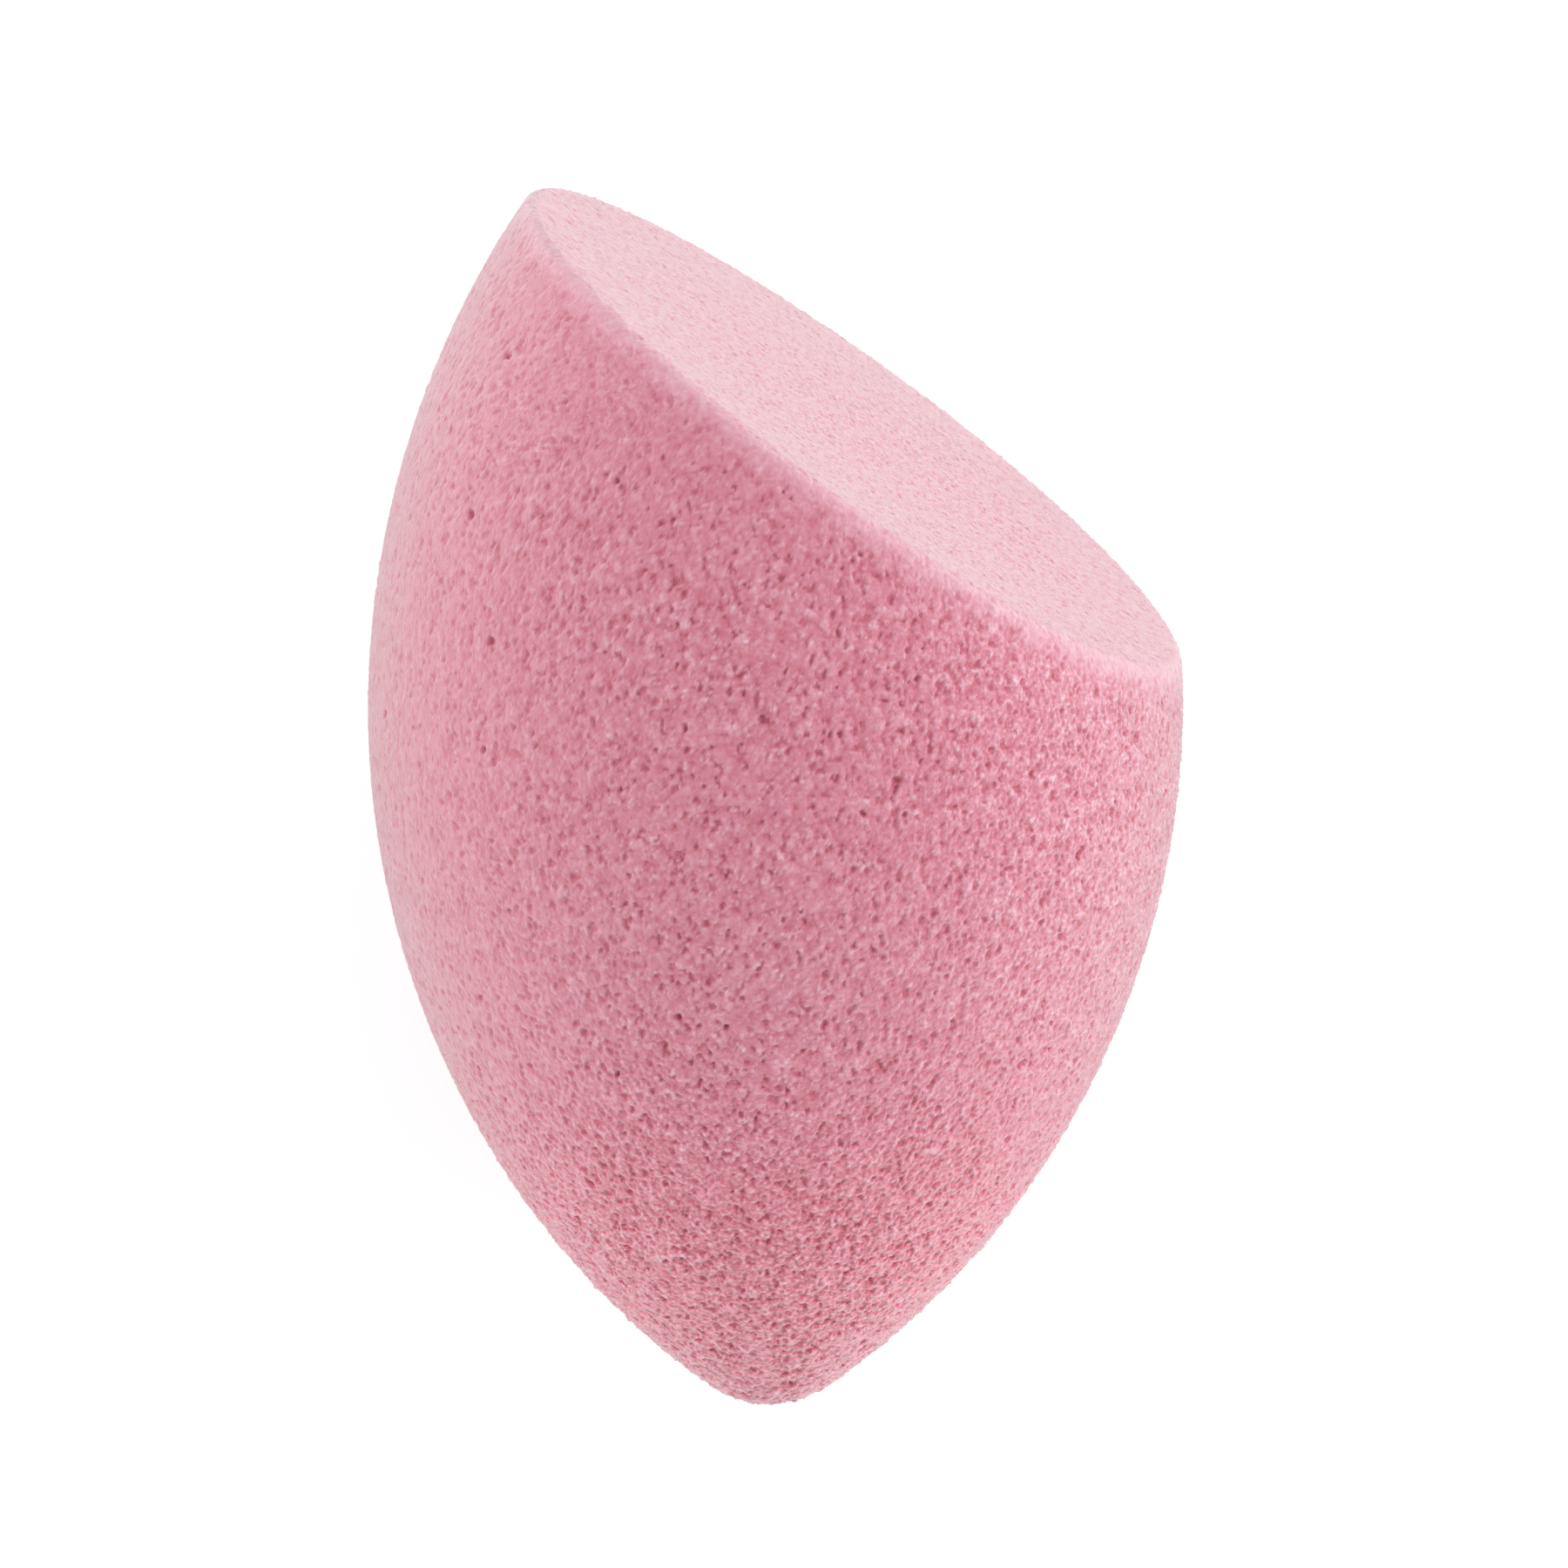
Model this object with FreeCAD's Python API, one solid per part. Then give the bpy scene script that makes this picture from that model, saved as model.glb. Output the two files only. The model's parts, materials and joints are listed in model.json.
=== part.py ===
import FreeCAD, Part
import math
import os

# Makeup sponge: one moulded piece of open-cell foam, shaped like an almond, with a face sliced across its
# upper end at a slant. Millimetres. It is shaped upright on its tip, with the slanted face towards +X, and
# then laid on its side. As it lies, +Z is up, the table is Z = 0, the origin is the middle of the flat where
# it rests, the almond's axis runs along +Y from the tip, and the slanted face looks towards +X and +Y.

# Driving sizes
body_diameter = 40.0        # across the widest section
lower_flank_radius = 42.5   # side curve from the widest section down to the tip
upper_flank_radius = 45.0   # side curve from the widest section up to the slanted face
tip_radius = 5.0            # blunt rounding of the tip
slant_angle = 35.0          # degrees between the slanted face and a section square to the axis
slant_axis_height = 51.85   # above the tip, where the slanted face crosses the axis
edge_round = 0.5            # soft edge round the slanted face
face_up_turn = 9.0          # degrees rolled about the axis as it lies, which lifts the slanted face
rest_give = 0.3             # how far the soft foam gives under its own weight where it lies

# Sizes that follow from them
half_width = body_diameter / 2
# The tip's ball touches the lower side curve from inside, which sets how high the widest section is.
tip_reach = lower_flank_radius - tip_radius
widest_height = tip_radius + math.sqrt(tip_reach ** 2 - (lower_flank_radius - half_width) ** 2)
# The upper side curve, carried on past the slice, meets the axis here.
crown_rise = math.sqrt(upper_flank_radius ** 2 - (upper_flank_radius - half_width) ** 2)
crown_height = widest_height + crown_rise
slant = math.radians(slant_angle)
slant_normal = FreeCAD.Vector(math.sin(slant), 0, math.cos(slant))

along_x = FreeCAD.Vector(1, 0, 0)
along_z = FreeCAD.Vector(0, 0, 1)


def side_arc(centre, radius, start, end):
    """An arc in the XZ plane from start to end, through the point of its circle half-way between them."""
    middle = (start + end) * 0.5 - centre
    middle.normalize()
    return Part.Arc(start, centre + middle * radius, end).toShape()


def almond():
    """The whole almond before it is sliced: its side curve, from tip to crown, turned about the axis."""
    tip = FreeCAD.Vector(0, 0, 0)
    tip_centre = FreeCAD.Vector(0, 0, tip_radius)
    widest = FreeCAD.Vector(half_width, 0, widest_height)
    crown = FreeCAD.Vector(0, 0, crown_height)
    lower_centre = FreeCAD.Vector(half_width - lower_flank_radius, 0, widest_height)
    upper_centre = FreeCAD.Vector(half_width - upper_flank_radius, 0, widest_height)
    # The tip's ball and the lower side curve share this point, on the line through their centres.
    tip_blend = lower_centre + (tip_centre - lower_centre) * (lower_flank_radius / tip_reach)
    side_curve = Part.Wire([
        side_arc(tip_centre, tip_radius, tip, tip_blend),
        side_arc(lower_centre, lower_flank_radius, tip_blend, widest),
        side_arc(upper_centre, upper_flank_radius, widest, crown),
        Part.makeLine(crown, tip),
    ])
    return Part.Face(side_curve).revolve(tip, along_z, 360)


def sliced_almond():
    """The almond with its upper end sliced off at a slant, and the edge of that face softened."""
    slice_point = along_z * slant_axis_height
    slice_reach = crown_height + body_diameter
    sliced_off = Part.makeCylinder(slice_reach, slice_reach, slice_point, slant_normal)
    sliced = almond().cut(sliced_off)
    slanted_faces = [face for face in sliced.Faces if isinstance(face.Surface, Part.Plane)]
    return sliced.makeFillet(edge_round, slanted_faces[0].OuterWire.Edges).Solids[0]


def laid_down(upright):
    """The sponge laid on its side where it balances, with a shallow flat where the foam gives.

    The centre of mass stands straight above the contact when the line from the side curve's centre through
    the centre of mass points down, so that line's angle is how far the axis leans as the sponge lies.
    """
    turn = math.radians(face_up_turn)
    table_side = FreeCAD.Vector(-math.sin(turn), math.cos(turn), 0)
    mass_centre = upright.CenterOfMass
    below_widest = widest_height - mass_centre.z
    flank_radius = lower_flank_radius if below_widest > 0 else upper_flank_radius
    side_centre = table_side * (half_width - flank_radius) + along_z * widest_height
    lean = math.atan2(below_widest, (mass_centre - side_centre).dot(table_side))
    contact = side_centre + (table_side * math.cos(lean) - along_z * math.sin(lean)) * flank_radius
    roll_up = FreeCAD.Rotation(along_z, -face_up_turn)
    lay_down = FreeCAD.Rotation(along_x, math.degrees(lean) - 90)
    pose = lay_down * roll_up
    seat = FreeCAD.Vector(0, 0, -rest_give) - pose.multVec(contact)
    lying = upright.copy()
    lying.Placement = FreeCAD.Placement(seat, pose)
    table_reach = crown_height + body_diameter
    table = Part.makeBox(2 * table_reach, 2 * table_reach, table_reach,
                         FreeCAD.Vector(-table_reach, -table_reach, -table_reach))
    print("the axis leans %.3f degrees, tip low" % math.degrees(lean))
    print("slanted face looks along %.6f %.6f %.6f" % tuple(pose.multVec(slant_normal)))
    return lying.cut(table).Solids[0]


os.makedirs("parts", exist_ok=True)
foam_body = laid_down(sliced_almond())
foam_body.exportStep("parts/foam_body.step")

print("volume %.1f mm3, valid %s" % (foam_body.Volume, foam_body.isValid()))
for face in foam_body.Faces:
    if isinstance(face.Surface, Part.Plane):
        print("flat face of %.1f mm2 at %.4f %.4f %.4f mm" % (face.Area, *face.CenterOfMass))
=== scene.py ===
import itertools
import json
import math

import bpy
import numpy as np
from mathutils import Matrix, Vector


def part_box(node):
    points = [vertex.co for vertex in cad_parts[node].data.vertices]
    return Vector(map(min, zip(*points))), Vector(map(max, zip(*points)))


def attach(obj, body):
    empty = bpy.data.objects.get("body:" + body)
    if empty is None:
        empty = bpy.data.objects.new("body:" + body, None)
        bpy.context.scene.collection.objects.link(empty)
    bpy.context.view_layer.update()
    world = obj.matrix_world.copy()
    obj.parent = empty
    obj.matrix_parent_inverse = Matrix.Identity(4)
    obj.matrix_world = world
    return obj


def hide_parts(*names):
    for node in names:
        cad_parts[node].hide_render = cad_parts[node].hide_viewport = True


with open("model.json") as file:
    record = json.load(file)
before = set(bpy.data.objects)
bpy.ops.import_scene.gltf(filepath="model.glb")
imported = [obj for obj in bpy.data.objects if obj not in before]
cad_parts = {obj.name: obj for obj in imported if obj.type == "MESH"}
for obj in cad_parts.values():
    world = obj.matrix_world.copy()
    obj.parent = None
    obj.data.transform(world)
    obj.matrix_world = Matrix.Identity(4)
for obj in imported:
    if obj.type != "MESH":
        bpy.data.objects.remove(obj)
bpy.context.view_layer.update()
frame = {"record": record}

# Makeup sponge: one moulded piece of open-cell foam, lying on its side on a white table and seen from
# straight above. Metres, in the solid's own frame: +Z is up, the table is Z = 0, and the almond's axis runs
# along +Y from the tip, leaning a little with the tip low.

MM = 0.001

# Driving sizes of the almond, the same as the solid's
lower_flank_radius = 42.5 * MM
upper_flank_radius = 45.0 * MM
tip_radius = 5.0 * MM
slant_angle = math.radians(35.0)
edge_round = 0.5 * MM
rest_give = 0.3 * MM

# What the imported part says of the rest: its width, and the plane of its slanted face
foam_low, foam_high = (np.array(corner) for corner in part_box("foam_body"))
half_width = (foam_high[0] - foam_low[0]) / 2
mounts = {mount["name"]: mount for mount in frame["record"]["mounts"]}
slice_point = np.array(mounts["slanted_face"]["pos_m"])
slice_normal = np.array(mounts["slanted_face"]["axis"])

# The axis lies in the YZ plane, one slant angle away from the slanted face's normal, which gives its lean.
slice_rise = math.atan2(slice_normal[2], slice_normal[1])
lean = slice_rise - math.acos(math.cos(slant_angle) / math.hypot(slice_normal[1], slice_normal[2]))
almond_axis = np.array([0.0, math.cos(lean), math.sin(lean)])
table_side = np.array([0.0, math.sin(lean), -math.cos(lean)])
tip_reach = lower_flank_radius - tip_radius
widest_height = tip_radius + math.sqrt(tip_reach ** 2 - (lower_flank_radius - half_width) ** 2)
# The lower side curve's centre stands over the contact, and the tip is found from there.
side_centre = np.array([0.0, 0.0, lower_flank_radius - rest_give])
tip = side_centre + table_side * (lower_flank_radius - half_width) - almond_axis * widest_height

# Grid of the skin
grid_steps = 330                # squares along each edge of the six-sided grid
map_margin = 0.01               # round each side of the grid in its flat map, as a share of the side
middle_height = 29.0 * MM       # above the tip, on the axis, where the rays to the skin start
length_to_width = 1.45          # how far the rays' directions are stretched along the axis
ray_reach = 60.0 * MM           # further than any point of the skin from the rays' start
halvings = 26                   # of a ray, which find the skin to a millionth of a millimetre

# Random draws: one table of numbers, and where each use of it starts
draws_across = 64
draw_seed = 2611
layer_shift = 17
ragged_layer = 1
pore_layer = 2
pit_layer = 4
lump_layer = 6
small_lump_layer = 7
fuzz_layer = 8
edge_layer = 9

# Foam, as sizes
pore_spacing = 0.42 * MM        # open pores
pore_radii = (0.14 * MM, 0.26 * MM)
pore_lip = 0.07 * MM
pore_depth = 0.12 * MM
pit_spacing = 3.4 * MM          # the few large pits
pit_radii = (0.22 * MM, 0.32 * MM)
pit_lip = 0.12 * MM
pit_depth = 0.24 * MM
wall_foot = (-0.02 * MM, 0.03 * MM)     # cell walls start here, from the nearest pore's rim
wall_core = 0.02 * MM                   # and fade from here, from the next pore's rim
wall_width = 0.10 * MM                  # and end here
wall_height = 0.05 * MM
ragged_spacing = 0.30 * MM      # how the pores' outlines wander
ragged_reach = 0.13 * MM
lump_spacing = 0.42 * MM        # soft lumps of the skin, and smaller ones on them
lump_height = 0.04 * MM
small_lump_spacing = 0.22 * MM
small_lump_height = 0.055 * MM
fuzz_spacing = 0.18 * MM        # fuzz that the knife leaves on the slanted face
fuzz_height = 0.08 * MM
edge_wander_spacing = 0.8 * MM  # how the limits of the slice wander
edge_wander_reach = 0.3 * MM
grain_spacing = 0.19 * MM       # the finest grain, which only the material has
grain_bump = 0.09 * MM

# Where the foam changes: along the axis from the tip, across the body, and above the plane of the slice
tip_zone = (4.0 * MM, 26.0 * MM)
top_zone = (42.0 * MM, 56.0 * MM)
left_zone = (-half_width, -0.2 * half_width)
right_zone = (0.2 * half_width, 0.8 * half_width)
knife_zone = (-0.5 * MM, -0.15 * MM)
sheen_edge_band_zone = (-1.6 * MM, -0.2 * MM)
face_brim = 0.1 * MM            # the edge band and its painted sheen fade over this depth below the slanted face

# How far the pores close, and how far the skin roughens or calms, as shares
left_closing = 0.4
top_closing = 0.35
slice_closing = 0.8
edge_closing = 0.5
tip_roughening = 0.9
right_roughening = 0.4
slice_calming = 0.7
edge_calming = 0.5
faintest_pore = 0.2             # the least strength that a pore can draw
pore_bias = 1.5                 # above 1, most pores are faint
calm_lumps = 0.3                # share of the small lumps that a calm skin keeps
calm_skin = 0.8                 # roughness from which the grain shows more and more
least_ragged = 0.1

# Foam, as steps of its tone, which runs from 0 in the deepest rose to 1 in the palest pink. Most steps are
# painted light: painted shade in pores, pits and at the tip, painted highlight on walls, painted highlight
# and shade on lumps and fuzz, and painted sheen on the slice's edge
plain_tone = 0.51
lump_light_and_shade_tone = 0.17
small_lump_light_and_shade_tone = 0.26
wall_highlight_tone = 0.36
fuzz_light_and_shade_tone = 0.12
edge_sheen_tone = 0.28
pore_shade_tone = -0.33
pit_shade_tone = -0.38
tip_shade_tone = -0.1
grain_tone = 0.3

# Foam, as colours, evenly spaced along the tone
foam_colours = (
    (0.52, 0.06, 0.098, 1),
    (0.64, 0.118, 0.188, 1),
    (0.72, 0.207, 0.295, 1),
    (0.82, 0.34, 0.445, 1),
    (0.90, 0.54, 0.64, 1),
)
tip_shade_tint = (1.1, 0.76, 0.82, 1)         # multiplies the colour at the tip: painted shade, darker and rosier there
sliced_colour = (0.70, 0.40, 0.49, 1)
sliced_share = 0.15                     # how far the sliced face takes its own colour
grain_range = (0.3, 0.7)                # most of the grain's noise
highlight_speck_range = (0.42, 0.7)               # the part of it that makes painted highlight specks
speck_shade_and_highlight = (0.9, 1.35)               # multiplies the colour: painted shade between the specks, and painted highlight on them
foam_roughness = (0.8, 1.0)             # from the grain's hollows to its tops

# Light: each lamp's bearing from +X in degrees and its watts, and the levels of the surroundings
lamp_rise = math.radians(18)
softboxes = (
    ("softbox_left", 180, 2.55),
    ("softbox_right", 0, 3.4),
    ("softbox_back", 90, 1.05),
    ("softbox_front", 270, 0.4),
)
fill_light = 0.47
white_lift = 0.45               # how far the table is lifted to white where it is seen


def almond_gap(points):
    """Signed distance to the whole almond, negative inside.

    A point's height along the axis and its distance from the axis put it in one half-plane, where the side
    curve is two arcs that share the widest section and a ball at the tip. The distance to the curve is the
    distance to that arc's centre less its radius. The ball counts on the tip's side of the line through its
    own centre and the lower arc's.
    """
    from_tip = points - tip
    height = from_tip @ almond_axis
    across = np.linalg.norm(from_tip - height[:, None] * almond_axis, axis=1)
    upper = np.hypot(across + upper_flank_radius - half_width, height - widest_height) - upper_flank_radius
    lower = np.hypot(across + lower_flank_radius - half_width, height - widest_height) - lower_flank_radius
    ball = np.hypot(across, height - tip_radius) - tip_radius
    line_across = (lower_flank_radius - half_width) / tip_reach
    line_down = (tip_radius - widest_height) / tip_reach
    near_tip = line_across * (height - tip_radius) - line_down * across < 0
    return np.where(height > widest_height, upper, np.where(near_tip, ball, lower))


def slice_gap(points):
    """Signed distance to the plane of the slanted face, negative on the sponge's side."""
    return (points - slice_point) @ slice_normal


def sponge_gap(points):
    """Signed distance to the smooth sponge: the almond and the slice meet in a round edge, over the table.

    The round edge is a quarter circle in the plane of the two distances: where both are within edge_round of
    the skin, the gap is the length of what they have left, less edge_round.
    """
    flank = almond_gap(points)
    sliced = slice_gap(points)
    left = np.hypot(np.maximum(flank + edge_round, 0), np.maximum(sliced + edge_round, 0))
    rounded = np.minimum(np.maximum(flank, sliced), -edge_round) + left
    return np.maximum(rounded, -points[:, 2])


def six_sided_grid(steps):
    """Directions, squares and a flat map of a cube's six sides, each a grid of two parameters.

    On each side the two parameters run from -1 to 1, and a point's direction is (side, tan u, tan v) in
    eighths of a turn, so that the squares are even. Points on shared edges have one index, because all six
    grids number the same integer lattice. The flat map lays the sides out in three columns and two rows.
    """
    along = np.arange(steps + 1)
    u, v = (axis.ravel() for axis in np.meshgrid(along, along, indexing="ij"))
    first = (along[:-1, None] * (steps + 1) + along[None, :-1]).ravel()
    corners = np.stack([first, first + steps + 1, first + steps + 2, first + 1], axis=1)
    place = np.stack([u, v], axis=1) / steps * (1 - 2 * map_margin) + map_margin
    lattice, squares, flat = [], [], []
    for side in range(6):
        way, far = side % 3, side < 3
        spots = np.empty((len(u), 3), dtype=np.int64)
        spots[:, way] = steps if far else 0
        spots[:, (way + 1) % 3] = u if far else v
        spots[:, (way + 2) % 3] = v if far else u
        lattice.append(spots)
        squares.append(corners + side * len(u))
        flat.append((place[corners] + (way, 0 if far else 1)) / (3, 2))
    lattice = np.concatenate(lattice)
    codes = lattice @ np.array([(steps + 1) ** 2, steps + 1, 1])
    kept, shared = np.unique(codes, return_index=True, return_inverse=True)[1:]
    directions = np.tan((lattice[kept] / steps * 2 - 1) * math.pi / 4)
    return directions, shared[np.concatenate(squares)], np.concatenate(flat)


def smooth_skin(directions):
    """Points of the smooth sponge along rays from its middle.

    The grid's directions are stretched along the almond's axis, as its body is, so that the squares stay
    even. Along each ray the skin is where the gap changes sign, found by halving the stretch that holds it.
    """
    upward = -table_side
    body_middle = tip + almond_axis * middle_height
    stretched = directions * (1.0, length_to_width, 1.0)
    rays = stretched @ np.stack([np.cross(almond_axis, upward), almond_axis, upward])
    rays /= np.linalg.norm(rays, axis=1, keepdims=True)
    near = np.zeros(len(rays))
    far = np.full(len(rays), ray_reach)
    for _ in range(halvings):
        middle = (near + far) / 2
        inside = sponge_gap(body_middle + rays * middle[:, None]) < 0
        near = np.where(inside, middle, near)
        far = np.where(inside, far, middle)
    return body_middle + rays * far[:, None]


def outward(points):
    """Unit normals of the smooth sponge: the slope of the gap along X, Y and Z, from one point each side."""
    reach = 0.02 * MM
    slopes = [sponge_gap(points + step) - sponge_gap(points - step) for step in np.eye(3) * reach]
    normals = np.stack(slopes, axis=1)
    return normals / np.linalg.norm(normals, axis=1, keepdims=True)


def ease(low, high, value):
    """0 below low, 1 above high, and the smooth cubic between them."""
    share = np.clip((value - low) / (high - low), 0, 1)
    return share * share * (3 - 2 * share)


drawn_numbers = np.random.default_rng(draw_seed).random((draws_across, draws_across, draws_across, 4))


def cell_draws(cells, layer):
    """Four numbers from 0 to 1 for each cell of a layer's lattice, from one table that repeats far apart."""
    x, y, z = ((cells + layer_shift * layer) % draws_across).T
    return drawn_numbers[x, y, z]


def soft_noise(points, spacing, layer):
    """Four soft random heights from -1 to 1: lattice draws, blended along X, Y and Z by the smooth cubic."""
    home = np.floor(points / spacing).astype(np.int64)
    share = ease(0, 1, points / spacing - home)
    height = np.zeros((len(points), 4))
    for step in itertools.product((0, 1), repeat=3):
        weight = np.prod(np.where(np.array(step) == 1, share, 1 - share), axis=1)
        height += weight[:, None] * cell_draws(home + np.array(step), layer)
    return height * 2 - 1


def soft_lumps(points, spacing, layer):
    """Soft random heights: each cell of a cubic lattice holds one soft ball, high or low, and they add up.

    A ball's height is the cube of one less the squared distance to its centre in spacings, and 0 outside.
    """
    home = np.floor(points / spacing).astype(np.int64)
    height = np.zeros(len(points))
    for step in itertools.product((-1, 0, 1), repeat=3):
        cells = home + np.array(step)
        draws = cell_draws(cells, layer)
        away = ((points / spacing - cells - draws[:, :3]) ** 2).sum(axis=1)
        height += (draws[:, 3] * 2 - 1) * np.maximum(1 - away, 0) ** 3
    return height


def bubbles(points, spacing, radii, layer):
    """The foam's bubbles round each point: signed distances to the two nearest walls, and the nearest's draw.

    Each cell of a cubic lattice holds one bubble, at a drawn place and with a drawn radius. The distance to a
    bubble's wall is the distance to its centre less its radius, negative inside. A bubble's own draw is what
    is left of its radius's draw, several times over, after the whole numbers.
    """
    times_over = 7.31
    home = np.floor(points / spacing).astype(np.int64)
    nearest = np.full(len(points), np.inf)
    second = np.full(len(points), np.inf)
    nearest_draw = np.zeros(len(points))
    for step in itertools.product((-1, 0, 1), repeat=3):
        cells = home + np.array(step)
        draws = cell_draws(cells, layer)
        radius = radii[0] + (radii[1] - radii[0]) * draws[:, 3]
        to_wall = np.linalg.norm(points - (cells + draws[:, :3]) * spacing, axis=1) - radius
        closer = to_wall < nearest
        second = np.where(closer, nearest, np.minimum(second, to_wall))
        nearest = np.where(closer, to_wall, nearest)
        nearest_draw = np.where(closer, (draws[:, 3] * times_over) % 1, nearest_draw)
    return nearest, second, nearest_draw


def towards_tip(points):
    """1 at the tip, 0 from the lower middle of the body up, and the smooth cubic between them."""
    return 1 - ease(*tip_zone, (points - tip) @ almond_axis)


def openness(points):
    """How open the foam's pores are: 1 in the middle and at the tip, and less at the top and towards -X."""
    towards_left = 1 - ease(*left_zone, points[:, 0])
    towards_top = ease(*top_zone, (points - tip) @ almond_axis)
    closed_left = left_closing * towards_left * (1 - towards_tip(points))
    return 1 - np.maximum(closed_left, top_closing * towards_top)


def raggedness(points):
    """How high the cell walls stand: 1 in the middle, more at the tip and towards +X, less on closed skin."""
    towards_right = ease(*right_zone, points[:, 0])
    roughened = np.maximum(tip_roughening * towards_tip(points), right_roughening * towards_right)
    return openness(points) ** 2 * (1 + roughened)


def foam_relief(skin):
    """How far the foam rises from each point of the smooth skin, and the marks that its material reads.

    Where the skin runs inside a bubble it sinks, the more the further in: a small bubble is a pore, a large
    one a pit. Where it runs between two bubbles it is a cell wall, which stands up. Soft lumps of two sizes
    lie over all of it. On the slanted face the pores close, and fuzz takes their place. The tone carries
    painted light: painted shade in pores, pits and towards the tip, painted highlight on walls, on high lumps
    and on fuzz, painted shade on low lumps and fuzz, and painted sheen along the edge of the slice.
    """
    edge_wander = edge_wander_reach * soft_noise(skin, edge_wander_spacing, edge_layer)[:, 0]
    above_slice = slice_gap(skin)
    sliced = ease(*knife_zone, above_slice + edge_wander)
    # A band along the slice's edge where the pores close and the skin calms, and whose tone is painted sheen.
    sheen_edge_band = ease(*sheen_edge_band_zone, above_slice + edge_wander) * (1 - ease(-face_brim, 0, above_slice))
    open_skin = openness(skin) * (1 - slice_closing * sliced) * (1 - edge_closing * sheen_edge_band)
    rough_skin = raggedness(skin) * (1 - slice_calming * sliced) * (1 - edge_calming * sheen_edge_band)

    wandering = skin + ragged_reach * soft_noise(skin, ragged_spacing, ragged_layer)[:, :3]
    to_pore, to_next, draw = bubbles(wandering, pore_spacing, pore_radii, pore_layer)
    to_pit = bubbles(wandering, pit_spacing, pit_radii, pit_layer)[0]
    pore_strength = faintest_pore + (1 - faintest_pore) * draw ** pore_bias
    pore = ease(0, pore_lip, -to_pore) * pore_strength * open_skin
    pit = ease(0, pit_lip, -to_pit) * (1 - sliced)
    wall = ease(*wall_foot, to_pore) * (1 - ease(wall_core, wall_width, to_next)) * rough_skin
    lumps = soft_lumps(skin, lump_spacing, lump_layer) * open_skin
    lumpiness = calm_lumps + (1 - calm_lumps) * rough_skin
    small_lumps = soft_lumps(skin, small_lump_spacing, small_lump_layer) * lumpiness
    cut_fuzz = soft_lumps(skin, fuzz_spacing, fuzz_layer) * sliced

    sunk = np.maximum(pore * pore_depth, pit * pit_depth)
    lumped = lumps * lump_height + small_lumps * small_lump_height
    raised = lumped + wall * wall_height + cut_fuzz * fuzz_height
    # Painted light in the tone: painted shade in pores, pits and towards the tip, painted highlight on walls,
    # painted highlight and shade on lumps and fuzz as they rise and fall, and painted sheen along the slice's
    # edge.
    near_tip = towards_tip(skin)
    # Painted highlight on walls, and painted highlight and shade on lumps as they rise and fall.
    relief_light_and_shade = wall_highlight_tone * wall + lump_light_and_shade_tone * lumps + small_lump_light_and_shade_tone * small_lumps
    slice_light_and_sheen = fuzz_light_and_shade_tone * cut_fuzz + edge_sheen_tone * sheen_edge_band
    shade_in_pores = pore_shade_tone * pore + pit_shade_tone * pit
    marks = {
        "tone": plain_tone + relief_light_and_shade + slice_light_and_sheen + shade_in_pores + tip_shade_tone * near_tip,
        "sliced": sliced,
        "ragged": np.maximum(rough_skin - calm_skin, least_ragged),
        "painted_tip_shade": near_tip,
    }
    return raised - sunk, marks


def foam_mesh(name):
    """The sponge's skin: the smooth one, moved outward by the foam's relief and held above the table."""
    directions, squares, flat_map = six_sided_grid(grid_steps)
    smooth = smooth_skin(directions)
    rise, marks = foam_relief(smooth)
    skin = smooth + outward(smooth) * rise[:, None]
    skin[:, 2] = np.maximum(skin[:, 2], 0)
    mesh = bpy.data.meshes.new(name)
    mesh.vertices.add(len(skin))
    mesh.vertices.foreach_set("co", skin.ravel())
    mesh.loops.add(squares.size)
    mesh.loops.foreach_set("vertex_index", squares.ravel())
    mesh.polygons.add(len(squares))
    mesh.polygons.foreach_set("loop_start", np.arange(0, squares.size, 4))
    mesh.polygons.foreach_set("use_smooth", np.ones(len(squares), dtype=bool))
    mesh.update(calc_edges=True)
    mesh.uv_layers.new(name="OFBake").data.foreach_set("uv", flat_map.ravel())
    for label, values in marks.items():
        mesh.attributes.new(label, "FLOAT", "POINT").data.foreach_set("value", values)
    return mesh


def new_material(name):
    """A node material, its tree and its Principled shader."""
    material = bpy.data.materials.new(name)
    material.use_nodes = True
    return material, material.node_tree, material.node_tree.nodes["Principled BSDF"]


def combined(tree, operation, first, second):
    """One output from two numbers: their sum, their product or the larger one."""
    node = tree.nodes.new("ShaderNodeMath")
    node.operation = operation
    tree.links.new(first, node.inputs[0])
    tree.links.new(second, node.inputs[1])
    return node.outputs["Value"]


def mapped(tree, value, span, to_span):
    """An output carried from one span to another, and held at its ends."""
    node = tree.nodes.new("ShaderNodeMapRange")
    for socket, end in zip(("From Min", "From Max", "To Min", "To Max"), (*span, *to_span)):
        node.inputs[socket].default_value = end
    tree.links.new(value, node.inputs["Value"])
    return node.outputs["Result"]


def blended(tree, blend, share, colour):
    """A node that blends a colour by a share with a second one, its input B. It holds the result below 1."""
    node = tree.nodes.new("ShaderNodeMix")
    node.data_type = "RGBA"
    node.blend_type = blend
    node.clamp_result = True
    tree.links.new(share, node.inputs["Factor"])
    tree.links.new(colour, node.inputs["A"])
    return node


def mark(tree, name):
    """A number kept on the mesh."""
    node = tree.nodes.new("ShaderNodeAttribute")
    node.attribute_name = name
    return node.outputs["Fac"]


def seen_directly(tree):
    """1 where the camera, a mirror or glass sees the surface, and 0 for the light that it gives off."""
    rays = tree.nodes.new("ShaderNodeLightPath").outputs
    seen_or_mirrored = combined(tree, "MAXIMUM", rays["Is Camera Ray"], rays["Is Glossy Ray"])
    return combined(tree, "MAXIMUM", seen_or_mirrored, rays["Is Transmission Ray"])


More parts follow.
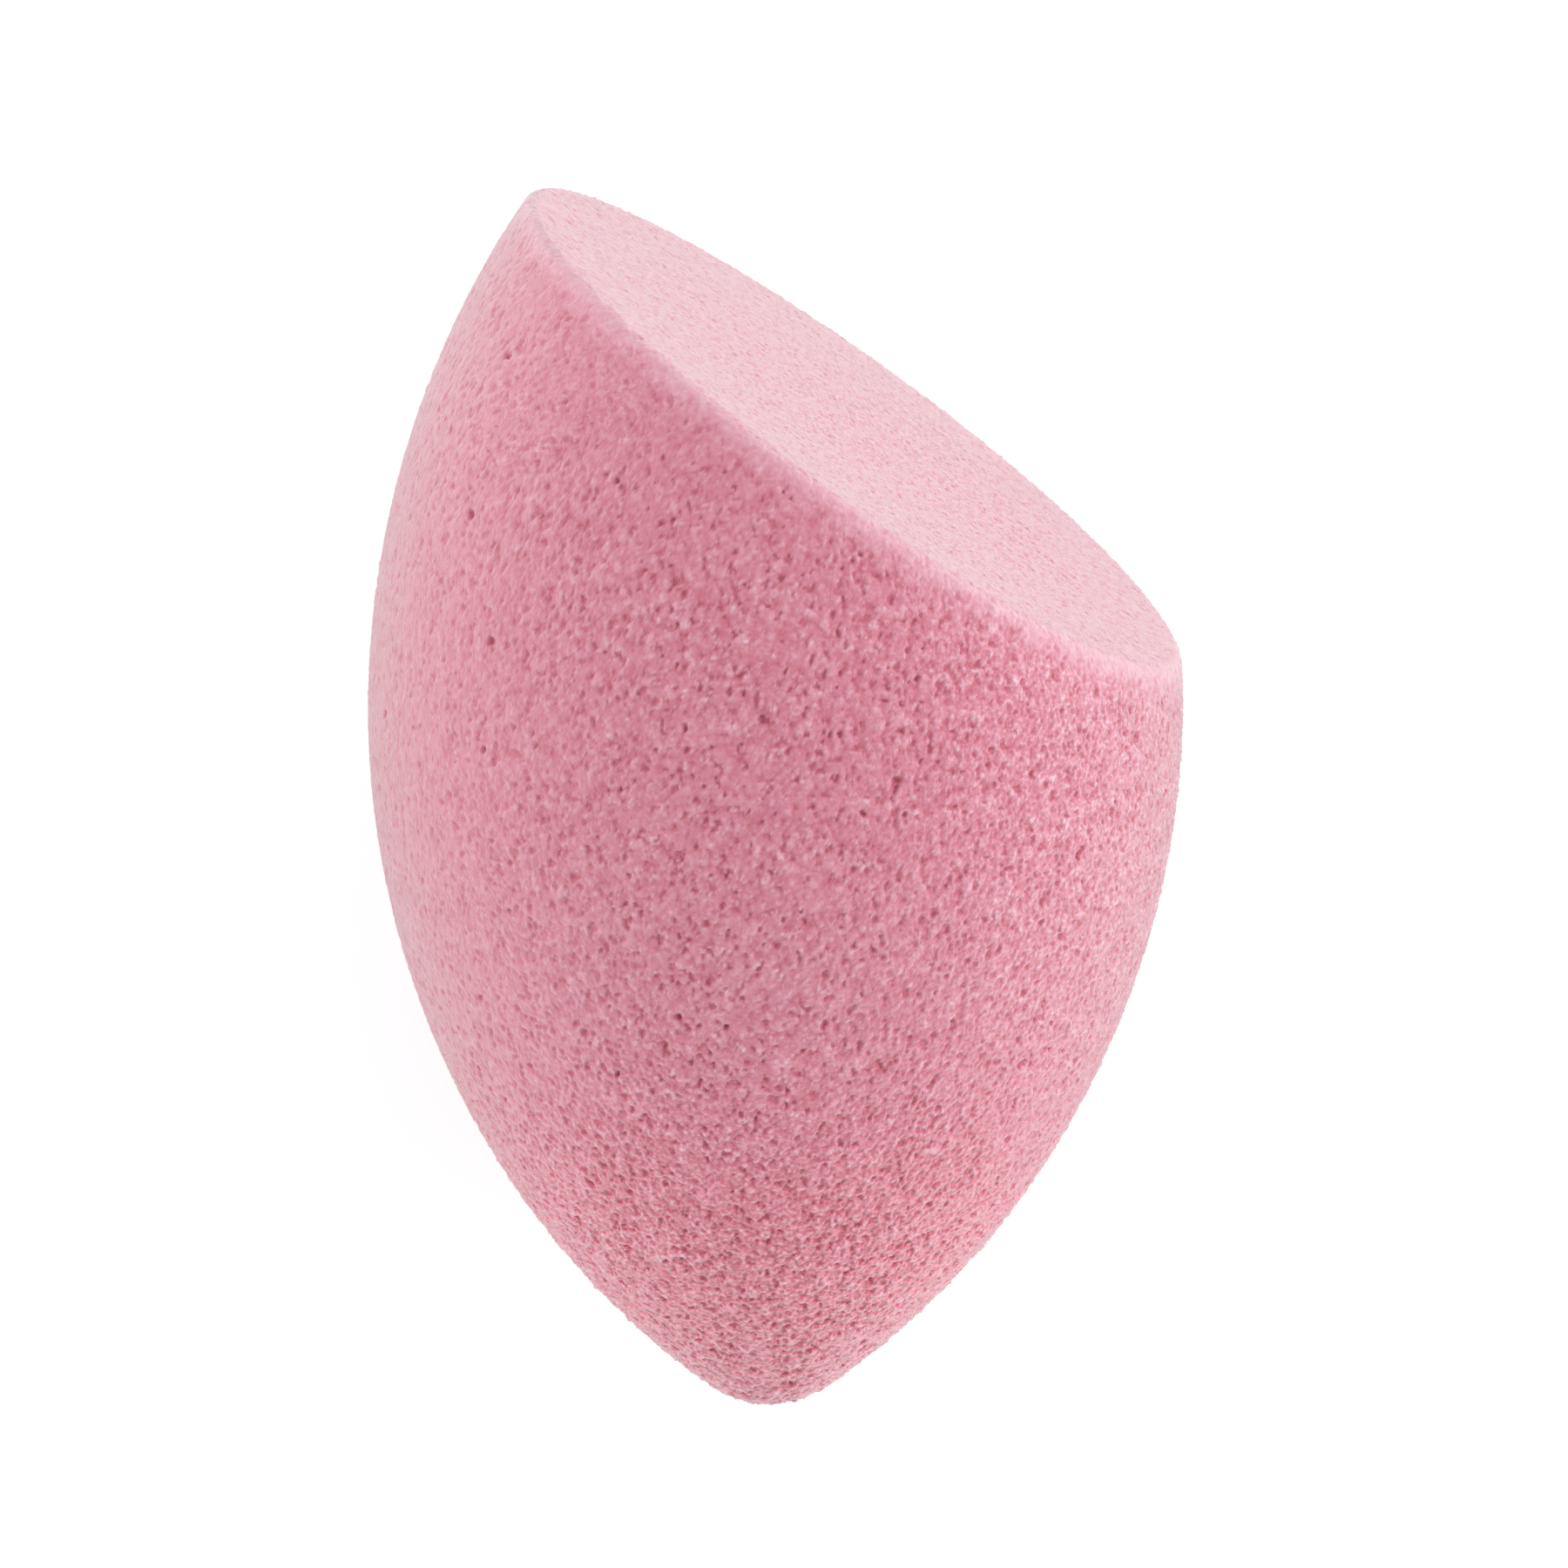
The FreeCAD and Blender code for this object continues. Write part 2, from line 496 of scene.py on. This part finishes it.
def pink_foam_material():
    """Dusty pink foam: rose in the pores, paler on the walls between its cells and along the slice's edge.

    A tone from 0 to 1 picks the colour. The mesh keeps it, and where the skin is ragged a fine grain moves it
    up and down. The rose in the pores is painted shade, and the paler walls are painted highlight. Towards
    the tip the colour is darker and rosier, as painted shade. Where the skin is ragged it has painted
    highlight specks with painted shade between them. It is a little paler where it was sliced, and paler
    along the slice's edge as painted sheen. The shader's sheen makes the foam pale where it is seen at a
    slant.
    """
    material, tree, foam = new_material("pink_foam_finish")
    place = tree.nodes.new("ShaderNodeTexCoord").outputs["Object"]
    noise = tree.nodes.new("ShaderNodeTexNoise")
    noise.inputs["Scale"].default_value = 1 / grain_spacing
    noise.inputs["Detail"].default_value = 2
    tree.links.new(place, noise.inputs["Vector"])
    grain = noise.outputs["Fac"]
    ragged = mark(tree, "ragged")

    grain_step = mapped(tree, grain, grain_range, (-grain_tone, grain_tone))
    tone = combined(tree, "ADD", mark(tree, "tone"), combined(tree, "MULTIPLY", ragged, grain_step))
    rose_to_pale = tree.nodes.new("ShaderNodeValToRGB")
    stops = rose_to_pale.color_ramp.elements
    stops[0].color = foam_colours[0]
    stops[1].color = foam_colours[-1]
    for step, colour in enumerate(foam_colours[1:-1], start=1):
        stops.new(step / (len(foam_colours) - 1)).color = colour
    tree.links.new(tone, rose_to_pale.inputs["Fac"])

    # Painted shade towards the tip: the colour is multiplied darker and rosier there.
    shaded_tip = blended(tree, "MULTIPLY", mark(tree, "painted_tip_shade"), rose_to_pale.outputs["Color"])
    shaded_tip.inputs["B"].default_value = tip_shade_tint
    # Painted highlight specks on the grain's tops where the skin is ragged, and painted shade between them.
    painted_specks = blended(tree, "MULTIPLY", ragged, shaded_tip.outputs["Result"])
    tree.links.new(mapped(tree, grain, highlight_speck_range, speck_shade_and_highlight), painted_specks.inputs["B"])
    slice_share = mapped(tree, mark(tree, "sliced"), (0, 1), (0, sliced_share))
    sliced = blended(tree, "MIX", slice_share, painted_specks.outputs["Result"])
    sliced.inputs["B"].default_value = sliced_colour
    tree.links.new(sliced.outputs["Result"], foam.inputs["Base Color"])

    tree.links.new(mapped(tree, grain, (0, 1), foam_roughness), foam.inputs["Roughness"])
    bump = tree.nodes.new("ShaderNodeBump")
    bump.inputs["Strength"].default_value = 0.9
    bump.inputs["Distance"].default_value = grain_bump
    tree.links.new(grain, bump.inputs["Height"])
    tree.links.new(bump.outputs["Normal"], foam.inputs["Normal"])
    foam.inputs["Specular IOR Level"].default_value = 0.2
    foam.inputs["Sheen Weight"].default_value = 1.0
    foam.inputs["Sheen Roughness"].default_value = 0.63
    foam.inputs["Sheen Tint"].default_value = (1.0, 1.0, 1.0, 1)
    return material


def white_table_material():
    """White table: matt for the light it gives back, and lifted to white where it is seen, shadow and all."""
    material, tree, matt = new_material("white_table_finish")
    matt.inputs["Base Color"].default_value = (0.85, 0.85, 0.85, 1)
    matt.inputs["Roughness"].default_value = 1.0
    matt.inputs["Specular IOR Level"].default_value = 0.0
    matt.inputs["Emission Color"].default_value = (1, 1, 1, 1)
    lift = mapped(tree, seen_directly(tree), (0, 1), (0, white_lift))
    tree.links.new(lift, matt.inputs["Emission Strength"])
    return material


def white_table():
    """The table top: one square at Z = 0 that ends before the lamps, so that all of it is lit alike."""
    reach = 0.6
    corners = [(-reach, -reach, 0), (reach, -reach, 0), (reach, reach, 0), (-reach, reach, 0)]
    mesh = bpy.data.meshes.new("white_table")
    mesh.from_pydata(corners, [], [(0, 1, 2, 3)])
    mesh.materials.append(white_table_material())
    table = bpy.data.objects.new("white_table", mesh)
    bpy.context.collection.objects.link(table)


def soft_surroundings():
    """The world: even pale fill for the light, and white where it is seen or mirrored."""
    world = bpy.data.worlds.new("soft_surroundings")
    world.use_nodes = True
    tree = world.node_tree
    background = tree.nodes["Background"]
    background.inputs["Color"].default_value = (1, 1, 1, 1)
    level = mapped(tree, seen_directly(tree), (0, 1), (fill_light, 1))
    tree.links.new(level, background.inputs["Strength"])
    bpy.context.scene.world = world


def softbox(name, bearing, watts):
    """A square lamp round the table at a bearing from +X, raised by lamp_rise and facing the sponge."""
    distance = 0.7
    lamp = bpy.data.lights.new(name, "AREA")
    lamp.size = 0.45
    lamp.energy = watts
    box = bpy.data.objects.new(name, lamp)
    out = distance * math.cos(lamp_rise)
    up = distance * math.sin(lamp_rise) + half_width
    box.location = (out * math.cos(bearing), out * math.sin(bearing), up)
    box.rotation_euler = (math.pi / 2 - lamp_rise, 0, bearing + math.pi / 2)
    box.visible_camera = False
    bpy.context.collection.objects.link(box)


def camera_above():
    """A long lens straight above the sponge, rolled a little, as in the photograph."""
    distance = 450.0 * MM
    aim_height = 30.1 * MM      # above the tip, on the axis
    aim_shift = (0.47 * MM, 1.07 * MM)
    roll = math.radians(0.62)
    camera = bpy.data.cameras.new("camera_above")
    camera.sensor_width = 36.0
    camera.lens = 209.7
    viewer = bpy.data.objects.new("camera_above", camera)
    viewer.location = tip + almond_axis * aim_height + np.array([*aim_shift, distance])
    viewer.rotation_euler = (0, 0, roll)
    bpy.context.collection.objects.link(viewer)
    bpy.context.scene.camera = viewer


sponge = bpy.data.objects.new("sponge_foam", foam_mesh("sponge_foam"))
sponge.data.materials.append(pink_foam_material())
bpy.context.collection.objects.link(sponge)
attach(sponge, "root")
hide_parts("foam_body")

white_table()
soft_surroundings()
for lamp_name, lamp_bearing, lamp_watts in softboxes:
    softbox(lamp_name, math.radians(lamp_bearing), lamp_watts)
camera_above()
bpy.context.scene.view_settings.view_transform = "Standard"
